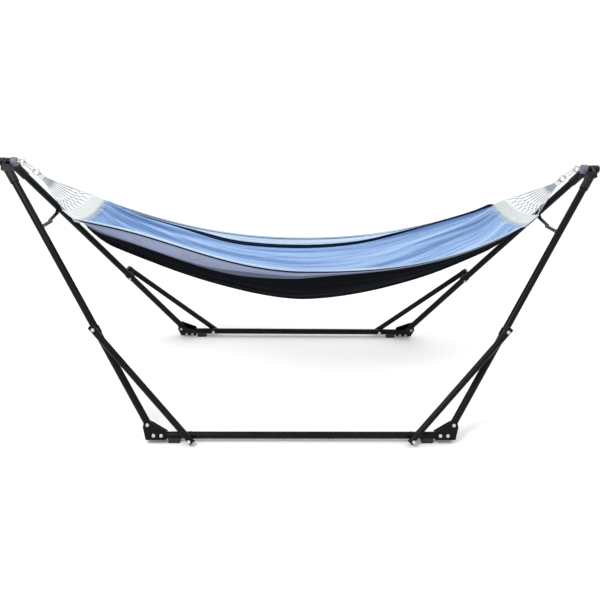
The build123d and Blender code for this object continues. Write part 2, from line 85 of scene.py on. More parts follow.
def meshFrom(name, points, faces, uv=None, smooth=True):
    # one mesh object at the origin from points, quads and perhaps a UV pair for each point
    data = bpy.data.meshes.new(name)
    data.vertices.add(len(points))
    data.vertices.foreach_set("co", np.asarray(points, np.float32).ravel())
    data.loops.add(faces.size)
    data.loops.foreach_set("vertex_index", faces.ravel().astype(np.int32))
    data.polygons.add(len(faces))
    data.polygons.foreach_set("loop_start", (np.arange(len(faces)) * faces.shape[1]).astype(np.int32))
    data.update(calc_edges=True)
    if uv is not None:
        layer = data.uv_layers.new(name="flat")
        layer.data.foreach_set("uv", np.asarray(uv, np.float32)[faces.ravel()].ravel())
    data.polygons.foreach_set("use_smooth", np.full(len(faces), smooth))
    data.validate()
    obj = bpy.data.objects.new(name, data)
    bpy.context.scene.collection.objects.link(obj)
    return obj


def pathFrames(path, up):
    # tangent, side and lift at each point of paths shaped (n, points, 3)
    tangent = unit(np.gradient(path, axis=-2))
    side = unit(np.cross(tangent, np.broadcast_to(up, path.shape)))
    return tangent, side, np.cross(side, tangent)


def ropeSurface(paths, radius, sides=10, lobes=3, pitch=0.011, depth=0.16, flat=1.0, up=(0.3, 0.2, 1.0)):
    # A laid rope: round the path at angle a and distance d, the radius is
    # radius * (1 - depth + depth * |cos(lobes/2 * (a - 2 pi d / pitch))|), squeezed by flat along its lift.
    # paths is (n, points, 3); every path becomes a closed tube with its ends drawn to a point.
    paths = np.asarray(paths, float)
    count, rings = paths.shape[:2]
    steps = np.linalg.norm(np.diff(paths, axis=1), axis=2)
    distance = np.concatenate([np.zeros((count, 1)), np.cumsum(steps, 1)], 1)[..., None]
    tangent, side, lift = pathFrames(paths, np.asarray(up, float))
    angle = np.linspace(0, 2 * math.pi, sides, endpoint=False)[None, None, :]
    wave = np.abs(np.cos(lobes / 2 * (angle - 2 * math.pi * distance / pitch)))
    r = radius * (1 - depth + depth * wave)
    shell = (
        paths[:, :, None, :]
        + (r * np.cos(angle))[..., None] * side[:, :, None, :]
        + (flat * r * np.sin(angle))[..., None] * lift[:, :, None, :]
    )
    cap = np.array([paths[:, 0] - tangent[:, 0] * radius * 0.4, paths[:, -1] + tangent[:, -1] * radius * 0.4])
    first = np.broadcast_to(cap[0][:, None, None, :], (count, 1, sides, 3))
    last = np.broadcast_to(cap[1][:, None, None, :], (count, 1, sides, 3))
    points = np.concatenate([first, shell, last], 1)
    along = np.broadcast_to(distance, (count, rings, sides))
    along = np.concatenate([along[:, :1], along, along[:, -1:]], 1)
    around = np.broadcast_to(angle / (2 * math.pi), (count, rings + 2, sides))
    uv = np.stack([around, along], -1).reshape(-1, 2)
    one = gridFaces(rings + 2, sides, wrapCols=True)
    faces = (one[None] + (np.arange(count) * (rings + 2) * sides)[:, None, None]).reshape(-1, 4)
    return points.reshape(-1, 3), faces, uv


def ropeObject(name, paths, radius, **shape):
    points, faces, uv = ropeSurface(paths, radius, **shape)
    obj = meshFrom(name, points, faces, uv)
    weld = obj.modifiers.new("ends", "WELD")      # closes the pointed ends
    weld.merge_threshold = 0.00001
    return obj


def mirrored(points, sign):
    # the same points for the right (+1) or the left (-1) end
    return np.asarray(points, float) * np.array([sign, 1.0, 1.0])


clew = {
    "eye": (1.0983, 0.0, 0.977),       # where the pull leaves the apex eye, right end
    "hem": (0.902, 0.0, 0.796),        # middle of the braid's outer edge
    "count": 18,
    "cordRadius": 0.0014,
    "ringAt": 0.05935,                 # ring centre along the pull
    "ringRadius": 0.013,
    "ringWire": 0.0025,
    "windAt": 0.07535,
    "windLong": 0.022,
    "fanAt": 0.09895,                  # the cords leave the winding here
    "windWide": 0.044,
    "row": 0.0023,
    "braidHalf": 0.150,                # cords end this far out on the braid
    "braidRims": (0.812, 0.824),       # rear, front
    "hemSkew": 0.10,                   # the hems run out along X by this much for each unit of -Y
    "netFrom": 0.60,                   # share of the cord where the knotted net begins
    "netRows": 4,
}
eye = np.array(clew["eye"])
pull = unit(np.array(clew["hem"]) - eye)
pullNormal = np.array([-pull[2], 0.0, pull[0]])
sideWay = np.array([0.0, 1.0, 0.0])


def outerEdge(share):
    # X and Z of the braid's outer edge, share from -1 in front to 1 behind:
    # a parabola through its three heights
    rear, front = clew["braidRims"]
    middle = clew["hem"][2]
    z = middle + ((rear + front) / 2 - middle) * share**2 + (rear - front) / 2 * share
    return clew["hem"][0] - clew["hemSkew"] * clew["braidHalf"] * share, z


def cordEnds():
    # straight runs: start on the winding's face, end on the braid's outer edge
    n = clew["count"]
    share = (np.arange(n) - (n - 1) / 2) / ((n - 1) / 2)
    row = np.where(np.arange(n) % 2, clew["row"], -clew["row"])
    start = (
        eye + pull * clew["fanAt"]
        + np.outer(share * (clew["windWide"] / 2 - 0.004), sideWay)
        + np.outer(row, pullNormal)
    )
    edgeX, edgeZ = outerEdge(share)
    end = np.stack([edgeX + 0.0024, share * clew["braidHalf"], edgeZ + 0.002], 1)
    return share, start, end


def cordRoutes():
    # Each cord runs straight to the net.  There its control points lie on one neighbour's line and on the
    # other's in turn, which carries the smooth cord about half way across.
    _, start, end = cordEnds()
    n, rows = clew["count"], clew["netRows"]
    levels = np.linspace(clew["netFrom"], 1, rows + 1)
    routes = []
    for i in range(n):
        route = [start[i], start[i] + (end[i] - start[i]) * 0.2]
        for k, level in enumerate(levels):
            other = i + (1 if (i + k) % 2 else -1)
            here = start[i] + (end[i] - start[i]) * level
            if k and 0 <= other < n and level < 1:
                here = start[other] + (end[other] - start[other]) * level
            route.append(here)
        routes.append(np.array(route))
    return routes


def splinePath(name, route):
    # the smooth line of a cord, read from its NURBS spline
    curve = bpy.data.curves.new(name, "CURVE")
    curve.dimensions = "3D"
    curve.resolution_u = 10
    spline = curve.splines.new("NURBS")
    spline.points.add(len(route) - 1)
    spline.points.foreach_set("co", np.c_[route, np.ones(len(route))].ravel())
    spline.order_u = 3
    spline.use_endpoint_u = True
    obj = bpy.data.objects.new(name, curve)
    bpy.context.scene.collection.objects.link(obj)
    bpy.context.view_layer.update()
    line = bpy.data.meshes.new_from_object(obj)
    path = np.array([v.co for v in line.vertices])
    bpy.data.meshes.remove(line)
    bpy.data.objects.remove(obj)
    bpy.data.curves.remove(curve)
    return path


def evenPath(path, step):
    # the same line with points a step apart
    d = np.r_[0, np.cumsum(np.linalg.norm(np.diff(path, axis=0), axis=1))]
    at = np.linspace(0, d[-1], max(8, int(d[-1] / step)))
    return np.stack([np.interp(at, d, path[:, k]) for k in range(3)], 1), d[-1]


def makeCords():
    made = []
    for sign, sideName in ((1, "right"), (-1, "left")):
        for number, route in enumerate(cordRoutes()):
            route = mirrored(route, sign)
            path, length = evenPath(splinePath("route", route), 0.0022)
            cord = ropeObject(f"clew_cord_{sideName}_{number + 1}", path[None], clew["cordRadius"], sides=8)
            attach(cord, "hammock")
            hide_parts(f"clew_cords_{sideName}")
            made.append(cord)
    return made


cords = makeCords()
print("cords run,", len(cords))


def makeNetKnots():
    # a short wrap at each crossing of the net: an oval helix, 3.4 mm across by 2.2 mm up, round both cords
    _, start, end = cordEnds()
    n, rows = clew["count"], clew["netRows"]
    levels = np.linspace(clew["netFrom"], 1, rows + 1)[1:-1]
    paths = []
    turn = np.linspace(0, 2.2 * 2 * math.pi, 26)
    for k, level in enumerate(levels):
        for i in range(n - 1):
            if (i + k + 1) % 2 == 0:
                continue
            a = start[i] + (end[i] - start[i]) * level
            b = start[i + 1] + (end[i + 1] - start[i + 1]) * level
            middle, along = (a + b) / 2, unit(end[i] - start[i])
            across = unit(b - a)
            lift = np.cross(along, across)
            paths.append(
                middle
                + np.outer(np.cos(turn) * 0.0034, across)
                + np.outer(np.sin(turn) * 0.0022, lift)
                + np.outer((turn / turn[-1] - 0.5) * 0.0034, along)
            )
    both = np.concatenate([mirrored(paths, 1), mirrored(paths, -1)])
    knots = ropeObject("net_knots", both, 0.0009, sides=6, depth=0.1, pitch=0.006)
    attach(knots, "hammock")
    return knots


def makeRingLoops():
    # Nine loops hang on each ring.  Along c from 1 to -1 a loop runs down one leg, over the wire and back:
    # distance = top + depth * |c|^2.2, side = wire clearance * tanh(3c) + the rest * c^3.
    c = np.cos(np.linspace(0, math.pi, 60))
    share = cordEnds()[0]
    loops = []
    clear = clew["ringWire"] + clew["cordRadius"]
    for j in range(9):
        across = (j - 4) * 0.0021
        bottom = clew["ringAt"] + math.sqrt(clew["ringRadius"]**2 - across**2)
        top = bottom - clear
        outer = abs(share[j]) * (clew["windWide"] / 2 - 0.004)
        row = clew["row"] if j % 2 else -clew["row"]
        distance = top + (clew["fanAt"] - top) * np.abs(c)**2.2
        side = clear * np.tanh(3 * c) / math.tanh(3) + (outer - clear) * c**3
        shift = across + (row - across) * np.abs(c)**1.5
        loops.append(eye + np.outer(distance, pull) + np.outer(side, sideWay) + np.outer(shift, pullNormal))
    both = np.concatenate([mirrored(loops, 1), mirrored(loops, -1)])
    obj = ropeObject("ring_loops", both, clew["cordRadius"], sides=8)
    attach(obj, "hammock")
    return obj


def makeWindings():
    # 7.6 turns of cord round a flattened oval: superellipse |x/a|^3 + |y/b|^3 = 1 carried along the pull
    turns = 7.6
    angle = np.linspace(0, 2 * math.pi * turns, 380)
    a, b = clew["windWide"] / 2 - 0.0016, 0.0044
    ring = (np.abs(np.cos(angle))**3 + np.abs(np.sin(angle))**3) ** (-1 / 3)
    distance = clew["windAt"] + 0.0016 + (clew["windLong"] - 0.0032) * angle / angle[-1]
    path = (
        eye + np.outer(distance, pull)
        + np.outer(a * ring * np.cos(angle), sideWay)
        + np.outer(b * ring * np.sin(angle), pullNormal)
    )
    both = np.stack([mirrored(path, 1), mirrored(path, -1)])
    obj = ropeObject("clew_windings", both, 0.00145, sides=10, up=tuple(pull + np.array([0, 0.01, 0])))
    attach(obj, "hammock")
    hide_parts("clew_whippings")
    return obj


netKnots = makeNetKnots()
ringLoops = makeRingLoops()
windings = makeWindings()
print("clews made")

cloth = {
    "half": 0.860,
    "flatWidth": 0.71,         # selvage to selvage before it was gathered
    "rimHalf": (0.217, 0.172), # half width at the rims: middle, end
    "rearRim": (0.612, 0.786, 2.1),
    "frontRim": (0.615, 0.798, 2.1),
    "frontLift": (0.048, -0.017),     # the front rim rides higher on the left and lower on the right
    "tuckFront": (0.046, 0.036),      # how far the stripes slip at the front: left, right
    "tuckRear": 0.020,
    "bottom": (0.421, 0.713, 1.65),
    "hemBottom": 0.763,
    "hemLiftFrom": 0.86,
    "flatFrom": 0.972,                # share of the half length where the pleats begin to flatten
    "hemFlat": 0.72,
    "folds": 12,
    "rows": 230,
    "columns": 186,
    "thick": 0.0013,
}


def troughPoint(s, t):
    # Arc across the trough: y = R sin(t a), z = bottom + R (1 - cos(t a)), with R and a from the
    # half width and depth at s; the front half is lifted by t^2 times how much its rim stands higher.
    out = np.abs(s)
    half = cloth["rimHalf"][0] + (cloth["rimHalf"][1] - cloth["rimHalf"][0]) * out**2
    rear = cloth["rearRim"][0] + (cloth["rearRim"][1] - cloth["rearRim"][0]) * out ** cloth["rearRim"][2]
    front = cloth["frontRim"][0] + (cloth["frontRim"][1] - cloth["frontRim"][0]) * out ** cloth["frontRim"][2]
    front = front + np.where(s < 0, *cloth["frontLift"]) * np.sin(math.pi * out**1.7)
    lift = np.clip((out - cloth["hemLiftFrom"]) / (1 - cloth["hemLiftFrom"]), 0, 1) ** 2
    bottom = cloth["bottom"][0] + (cloth["bottom"][1] - cloth["bottom"][0]) * out ** cloth["bottom"][2]
    bottom = bottom + (cloth["hemBottom"] - cloth["bottom"][1]) * lift
    depth = rear - bottom
    radius = (half**2 + depth**2) / (2 * depth)
    reach = np.arctan2(half, radius - depth)
    y = radius * np.sin(t * reach)
    z = bottom + radius * (1 - np.cos(t * reach)) + (front - rear) * np.where(t < 0, t * t, 0)
    return np.stack([s * cloth["half"] - clew["hemSkew"] * s * y, y, z], -1)


def foldWave(s, t):
    # Lengthwise gathers: twelve ridges whose phase wanders with s, plus a finer set, less on the front
    # side, where the cloth is pulled smooth.
    phase = cloth["folds"] * (t + 0.05 * np.sin(4.1 * t + 0.7) + 0.022 * np.sin(9.7 * t + 2.1 * s))
    wander = 0.9 * np.sin(1.7 * s + 2.3 * t + 0.4) + 0.5 * np.sin(3.9 * s - 1.3 * t + 1.1)
    broad = np.sin(math.pi * phase + wander)
    fine = 0.34 * np.sin(2.07 * math.pi * phase + 1.9 * np.sin(2.3 * s + t) + 0.8)
    uneven = 0.72 + 0.28 * np.sin(5.3 * t + 3.1 * s + 0.6) + 0.16 * np.sin(11.0 * t - 4.7 * s)
    smoothSide = 0.16 + 0.84 / (1 + np.exp(-(t + 0.42) / 0.09))
    selvage = 1 - 0.75 * np.exp(-((1 - np.abs(t)) / 0.035) ** 2)
    return (broad + fine) * uneven * smoothSide * selvage


def surfaceNormals(points):
    across = np.gradient(points, axis=1)
    along = np.gradient(points, axis=0)
    return unit(np.cross(along, across))


def smooth(x, low, high):
    x = np.clip((x - low) / (high - low), 0, 1)
    return x * x * (3 - 2 * x)


def clothGrid():
    # Rows across the trough; each row's fold depth is solved so that the row is as long as the flat cloth.
    u = np.linspace(-1, 1, cloth["rows"])
    s = (0.8 * np.sin(u * math.pi / 2) + 0.2 * u)[:, None]
    t = np.linspace(-1, 1, cloth["columns"])[None, :]
    base = troughPoint(s, t)
    normal = surfaceNormals(base)
    wave = foldWave(s, t)
    low, high = np.zeros((cloth["rows"], 1)), np.full((cloth["rows"], 1), 0.022)
    for _ in range(22):
        middle = (low + high) / 2
        points = base + normal * (wave * middle)[..., None]
        length = np.linalg.norm(np.diff(points, axis=1), axis=2).sum(1, keepdims=True)
        low = np.where(length < cloth["flatWidth"], middle, low)
        high = np.where(length < cloth["flatWidth"], high, middle)
    depth = (low + high) / 2
    # pleats are stitched flat at the hem
    toHem = np.clip((np.abs(s) - cloth["flatFrom"]) / 0.028, 0, 1)
    held = 1 - cloth["hemFlat"] * toHem**1.5
    points = base + normal * (wave * depth * held)[..., None]
    step = np.linalg.norm(np.diff(points, axis=1), axis=2)
    across = np.concatenate([np.zeros((cloth["rows"], 1)), np.cumsum(step, 1)], 1)
    across = across / across[:, -1:] * cloth["flatWidth"]
    # the stripes near the selvages do not hang evenly: in places they crowd the rim, in others
    # they stand off it
    front = np.where(s < 0, *cloth["tuckFront"]) * np.sin(math.pi * 0.8 * s)
    rise = smooth(across, 0.012, np.where(front > 0, 0.034, 0.078))
    across = across + front * rise * (1 - smooth(across, 0.10, 0.30))
    inset = cloth["flatWidth"] - across
    rear = cloth["tuckRear"] * smooth(np.abs(s), 0.3, 0.75)
    across = across - rear * smooth(inset, 0.0, 0.014) * (1 - smooth(inset, 0.08, 0.25))
    middleLine = base[:, cloth["columns"] // 2]
    along = np.r_[0, np.cumsum(np.linalg.norm(np.diff(middleLine, axis=0), axis=1))]
    uv = np.stack([across, np.broadcast_to(along[:, None], across.shape)], -1)
    return points, surfaceNormals(points), uv


clothPoints, clothNormals, clothUv = clothGrid()


def makeCloth():
    rows, cols = clothPoints.shape[:2]
    obj = meshFrom("hammock_cloth", clothPoints.reshape(-1, 3), gridFaces(rows, cols), clothUv.reshape(-1, 2))
    solid = obj.modifiers.new("cloth thickness", "SOLIDIFY")
    solid.thickness = cloth["thick"]
    solid.offset = 0
    solid.material_offset = 1      # the second finish goes on the upper face
    return obj


hem = {
    "inset": 0.004,            # middle of the turned edge, in from the selvage
    "halfWidth": 0.0052,
    "halfThick": 0.0017,
}


def makeSideHems():
    # the two long edges are turned over: a flat oval carried along the first and the last column
    paths = np.stack([clothPoints[:, 0], clothPoints[:, -1]])
    inward = unit(clothPoints[:, 3] - clothPoints[:, 0]), unit(clothPoints[:, -4] - clothPoints[:, -1])
    paths = paths + np.stack(inward) * hem["inset"]
    normal = np.stack([clothNormals[:, 1], clothNormals[:, -2]])
    tangent = unit(np.gradient(paths, axis=1))
    side = unit(np.cross(tangent, normal))
    angle = np.linspace(0, 2 * math.pi, 12, endpoint=False)
    shell = (
        paths[:, :, None]
        + (hem["halfWidth"] * np.cos(angle))[:, None] * side[:, :, None]
        + (hem["halfThick"] * np.sin(angle))[:, None] * normal[:, :, None]
    )
    count, rings, sides = shell.shape[:3]
    one = gridFaces(rings, sides, wrapCols=True)
    faces = (one[None] + (np.arange(count) * rings * sides)[:, None, None]).reshape(-1, 4)
    uvAlong = np.broadcast_to(clothUv[:, 0, 1][None, :, None], (count, rings, sides))
    middles = np.array([cloth["flatWidth"] - hem["inset"], hem["inset"]])
    uvAcross = np.broadcast_to(middles[:, None, None], (count, rings, sides))
    uv = np.stack([uvAcross + hem["inset"] * np.cos(angle), uvAlong], -1).reshape(-1, 2)
    return meshFrom("side_hems", shell.reshape(-1, 3), faces, uv)


hammockCloth = makeCloth()
sideHems = makeSideHems()
print("cloth made")

braid = {
    "width": 0.043,
    "outerHalf": 0.154,
    "strands": 14,
    "periods": 4.0,
    "strandRadius": 0.0024,
    "lacingTurns": 34,
}


def braidSurface(p, q):
    # p from 0 at the cloth's hem to 1 at the net, q from -1 in front to 1 behind:
    # a straight line between the hem's arc and the outer edge's shallow parabola
    hem = troughPoint(np.ones_like(q) * 0.999, q)
    outer = np.stack(
        [
            outerEdge(q)[0],
            braid["outerHalf"] * q,
            outerEdge(q)[1],
        ],
        -1,
    )
    return hem + (outer - hem) * p[..., None]


def braidLift(p, q):
    # unit normal of the band's surface
    step = 0.01
    dp = braidSurface(p + step, q) - braidSurface(p, q)
    dq = braidSurface(p, np.clip(q + step, -1, 1)) - braidSurface(p, np.clip(q - step, -1, 1))
    return unit(np.cross(dp, dq))


def makeBraids():
    # Flat braid: strand k crosses the band on a rounded triangle wave,
    # position = 0.5 + 0.43 asin(0.985 sin a) / asin 0.985 with a = 2 pi (periods * along + k / strands),
    # and passes over and under its neighbours in turn.
    n = braid["strands"]
    q = np.linspace(-0.985, 0.985, 250)[None, :]
    k = np.arange(n)[:, None]
    a = 2 * math.pi * (braid["periods"] * (q + 1) / 2 + k / n)
    p = 0.5 + 0.43 * np.arcsin(0.985 * np.sin(a)) / math.asin(0.985)
    over = 0.0017 * np.cos(n * (a - math.pi / 2)) * np.tanh(4 * np.cos(a))
    qq = np.broadcast_to(q, p.shape)
    paths = braidSurface(p, qq) + braidLift(p, qq) * over[..., None]
    made = []
    for sign, sideName in ((1, "right"), (-1, "left")):
        obj = ropeObject(
            f"end_braid_{sideName}", mirrored(paths, sign), braid["strandRadius"],
            sides=8, flat=0.62, pitch=0.014, depth=0.14,
        )
        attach(obj, "hammock")
        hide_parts(f"end_band_{sideName}")
        made.append(obj)
    return made


def makeEdgeCords():
    # a cord along each edge of both bands: the net is tied to the outer one, the cloth hangs on the inner one
    q = np.linspace(-1, 1, 170)
    paths = [braidSurface(np.full_like(q, p), q) for p in (0.03, 0.985)]
    both = np.concatenate([mirrored(paths, 1), mirrored(paths, -1)])
    obj = ropeObject("braid_edge_cords", both, 0.0028, sides=10, pitch=0.016, depth=0.2)
    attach(obj, "hammock")
    return obj


def makeLacing():
    # whip stitch: a helix round the cloth's hem, across = -4 mm + 9 mm cos, height = 6.5 mm sin
    turns = braid["lacingTurns"]
    a = np.linspace(0, 2 * math.pi * turns, turns * 22)
    q = -0.985 + 1.97 * a / a[-1]
    p = (-0.004 + 0.010 * np.cos(a)) / braid["width"]
    path = braidSurface(p, q) + braidLift(p, q) * (0.0062 * np.sin(a))[:, None]
    both = np.stack([mirrored(path, 1), mirrored(path, -1)])
    obj = ropeObject("hem_lacing", both, 0.0012, sides=6, pitch=0.007, depth=0.12)
    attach(obj, "hammock")
    return obj


endBraids = makeBraids()
edgeCords = makeEdgeCords()
lacing = makeLacing()
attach(hammockCloth, "hammock")
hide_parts("cloth")
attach(sideHems, "hammock")
print("braids made, cloth cut to", cloth["flatWidth"], "by", round(float(clothUv[-1, 0, 1]), 3))


def group(name, inputs, outputs):
    # an empty node group: inputs are (name, socket type, default), outputs (name, socket type)
    tree = bpy.data.node_groups.new(name, "ShaderNodeTree")
    for label, kind, value in inputs:
        socket = tree.interface.new_socket(label, in_out="INPUT", socket_type=kind)
        if value is not None:
            socket.default_value = value
    for label, kind in outputs:
        tree.interface.new_socket(label, in_out="OUTPUT", socket_type=kind)
    return tree, tree.nodes.new("NodeGroupInput"), tree.nodes.new("NodeGroupOutput")


def node(tree, kind, settings=None, **inputs):
    # one shader node; settings are its properties, inputs are values or sockets to link
    made = tree.nodes.new(kind)
    for key, value in (settings or {}).items():
        setattr(made, key, value)
    for key, value in inputs.items():
        name = int(key[1:]) if key[0] == "i" and key[1:].isdigit() else key.replace("_", " ")
        socket = made.inputs[name]
        if isinstance(value, bpy.types.NodeSocket):
            tree.links.new(value, socket)
        else:
            socket.default_value = value
    return made


def calc(tree, operation, a, b=0.0, clamp=False):
    made = node(tree, "ShaderNodeMath", {"operation": operation, "use_clamp": clamp}, i0=a, i1=b)
    return made.outputs[0]


def mixColour(tree, factor, a, b, blend="MIX"):
    made = tree.nodes.new("ShaderNodeMix")
    made.data_type = "RGBA"
    made.blend_type = blend
    for socket, value in ((made.inputs[0], factor), (made.inputs[6], a), (made.inputs[7], b)):
        if isinstance(value, bpy.types.NodeSocket):
            tree.links.new(value, socket)
        else:
            socket.default_value = value
    return made.outputs[2]


def spread(tree, value, low, high, to0=0.0, to1=1.0):
    made = node(tree, "ShaderNodeMapRange", {"clamp": True}, Value=value, From_Min=low, From_Max=high,
                To_Min=to0, To_Max=to1)
    return made.outputs[0]


def noise(tree, vector, scale, detail=3.0, rough=0.55):
    made = node(tree, "ShaderNodeTexNoise", None, Vector=vector, Scale=scale, Detail=detail, Roughness=rough)
    return made.outputs[0]


def stretched(tree, vector, scale, place=(0, 0, 0)):
    return node(tree, "ShaderNodeMapping", None, Vector=vector, Scale=scale, Location=place).outputs[0]


# Edge wear: how far the rounded normal leaves the true one, broken up by noise.
edgeWear, gin, gout = group(
    "edgeWear",
    [
        ("Radius", "NodeSocketFloat", 0.0012),
        ("Amount", "NodeSocketFloat", 1.0),
        ("Scale", "NodeSocketFloat", 90.0),
    ],
    [("Mask", "NodeSocketFloat")],
)
place = edgeWear.nodes.new("ShaderNodeTexCoord").outputs["Object"]
bevel = node(edgeWear, "ShaderNodeBevel", {"samples": 4}, Radius=gin.outputs["Radius"])
geometry = edgeWear.nodes.new("ShaderNodeNewGeometry")
dot = node(edgeWear, "ShaderNodeVectorMath", {"operation": "DOT_PRODUCT"}, i0=bevel.outputs[0],
           i1=geometry.outputs["Normal"])
bent = spread(edgeWear, dot.outputs["Value"], 0.995, 0.80)
broken = spread(edgeWear, noise(edgeWear, place, gin.outputs["Scale"], 5.0, 0.7), 0.45, 0.62)
worn = calc(edgeWear, "MULTIPLY", calc(edgeWear, "MULTIPLY", bent, broken), gin.outputs["Amount"], True)
edgeWear.links.new(worn, gout.inputs["Mask"])

# Dust: settles on faces that look up, in soft patches.
dust, gin, gout = group(
    "dust",
    [("Amount", "NodeSocketFloat", 0.3), ("Scale", "NodeSocketFloat", 14.0)],
    [("Mask", "NodeSocketFloat")],
)
place = dust.nodes.new("ShaderNodeTexCoord").outputs["Object"]
geometry = dust.nodes.new("ShaderNodeNewGeometry")
facing = node(dust, "ShaderNodeSeparateXYZ", None, Vector=geometry.outputs["Normal"])
upward = spread(dust, facing.outputs["Z"], 0.15, 0.95)
patches = spread(dust, noise(dust, place, gin.outputs["Scale"], 6.0, 0.65), 0.38, 0.68)
settled = calc(dust, "MULTIPLY", upward, patches)
dust.links.new(calc(dust, "MULTIPLY", settled, gin.outputs["Amount"], True), gout.inputs["Mask"])

# Skin: the fine surface grain of a paint or a moulding, with a slower swell under it.
skin, gin, gout = group(
    "skin",
    [("Fine", "NodeSocketFloat", 900.0), ("Broad", "NodeSocketFloat", 160.0)],
    [("Height", "NodeSocketFloat"), ("Patch", "NodeSocketFloat")],
)
place = skin.nodes.new("ShaderNodeTexCoord").outputs["Object"]
fine = noise(skin, place, gin.outputs["Fine"], 2.0, 0.5)
broad = noise(skin, place, gin.outputs["Broad"], 2.0, 0.5)
skin.links.new(calc(skin, "ADD", calc(skin, "MULTIPLY", fine, 0.45), calc(skin, "MULTIPLY", broad, 0.55)),
               gout.inputs["Height"])
skin.links.new(noise(skin, place, 9.0, 5.0, 0.6), gout.inputs["Patch"])

# Weave: plain weave on the flat map, one thread over and one under, threads Pitch apart in metres; the second
# output marks the hollows between threads, where painted shade goes.
weave, gin, gout = group(
    "weave",
    [("Vector", "NodeSocketVector", None), ("Pitch", "NodeSocketFloat", 0.0011)],
    [("Height", "NodeSocketFloat"), ("GapShade", "NodeSocketFloat")],
)
flatMap = node(weave, "ShaderNodeSeparateXYZ", None, Vector=gin.outputs["Vector"])
turns = calc(weave, "DIVIDE", math.pi, gin.outputs["Pitch"])
acrossTurn = calc(weave, "MULTIPLY", flatMap.outputs["X"], turns)
alongTurn = calc(weave, "MULTIPLY", flatMap.outputs["Y"], turns)
warp = calc(weave, "ABSOLUTE", calc(weave, "SINE", acrossTurn))
weft = calc(weave, "ABSOLUTE", calc(weave, "SINE", alongTurn))
checker = calc(weave, "MULTIPLY", calc(weave, "COSINE", acrossTurn), calc(weave, "COSINE", alongTurn))
side = spread(weave, checker, -0.35, 0.35)
height = calc(weave, "ADD", calc(weave, "MULTIPLY", warp, side),
              calc(weave, "MULTIPLY", weft, calc(weave, "SUBTRACT", 1.0, side)))
weave.links.new(height, gout.inputs["Height"])
weave.links.new(spread(weave, calc(weave, "MAXIMUM", warp, weft), 0.75, 0.3), gout.inputs["GapShade"])


def material(name, **constants):
    # a material with its own Principled shader; constants go on the shader's own sockets
    mat = bpy.data.materials.new(name)
    mat.use_nodes = True
    tree = mat.node_tree
    shader = tree.nodes["Principled BSDF"]
    for key, value in constants.items():
        shader.inputs[key.replace("_", " ")].default_value = value
    return mat, tree, shader


def use(tree, groupTree, **inputs):
    made = tree.nodes.new("ShaderNodeGroup")
    made.node_tree = groupTree
    for key, value in inputs.items():
        if isinstance(value, bpy.types.NodeSocket):
            tree.links.new(value, made.inputs[key])
        else:
            made.inputs[key].default_value = value
    return made


def bump(tree, shader, height, strength, distance):
    made = node(tree, "ShaderNodeBump", None, Height=height, Strength=strength, Distance=distance)
    tree.links.new(made.outputs[0], shader.inputs["Normal"])


def paintedSteel():
    # black powder coat: orange peel, rubbed edges and a little dust on top
    look = {
        "black": (0.0022, 0.0023, 0.0028, 1), "worn": (0.05, 0.052, 0.06, 1),
        "dusty": (0.02, 0.0195, 0.019, 1),
    }
    mat, tree, shader = material("black_powder_coat", Coat_Weight=0.03, Coat_Roughness=0.12, IOR=1.5,
                                 Specular_IOR_Level=0.10)
    grain = use(tree, skin, Fine=1300.0, Broad=420.0)
    wear = use(tree, edgeWear, Radius=0.0010, Amount=0.55, Scale=120.0)
    dirt = use(tree, dust, Amount=0.22, Scale=11.0)
    tone = mixColour(tree, grain.outputs["Patch"], look["black"], (0.0045, 0.0046, 0.0055, 1))
    tone = mixColour(tree, wear.outputs["Mask"], tone, look["worn"])
    tone = mixColour(tree, dirt.outputs["Mask"], tone, look["dusty"])
    tree.links.new(tone, shader.inputs["Base Color"])
    rough = spread(tree, grain.outputs["Patch"], 0.3, 0.7, 0.20, 0.34)
    tree.links.new(calc(tree, "ADD", rough, calc(tree, "MULTIPLY", dirt.outputs["Mask"], 0.9), True),
                   shader.inputs["Roughness"])
    bump(tree, shader, grain.outputs["Height"], 0.35, 0.0004)
    return mat


def moulded(name, look):
    # injection moulding: spark-eroded grain, polished where it rubs
    mat, tree, shader = material(name, IOR=1.49, Specular_IOR_Level=look["shine"])
    grain = use(tree, skin, Fine=look["grain"], Broad=look["grain"] / 5)
    wear = use(tree, edgeWear, Radius=0.0012, Amount=look["wear"], Scale=150.0)
    dirt = use(tree, dust, Amount=look["dust"], Scale=24.0)
    tone = mixColour(tree, grain.outputs["Patch"], look["dark"], look["light"])
    tone = mixColour(tree, wear.outputs["Mask"], tone, look["rubbed"])
    tone = mixColour(tree, dirt.outputs["Mask"], tone, (0.16, 0.155, 0.145, 1))
    tree.links.new(tone, shader.inputs["Base Color"])
    rough = spread(tree, grain.outputs["Patch"], 0.3, 0.7, look["rough"], look["rough"] + 0.14)
    tree.links.new(calc(tree, "SUBTRACT", rough, calc(tree, "MULTIPLY", wear.outputs["Mask"], 0.12)),
                   shader.inputs["Roughness"])
    bump(tree, shader, grain.outputs["Height"], look["relief"], 0.0004)
    return mat


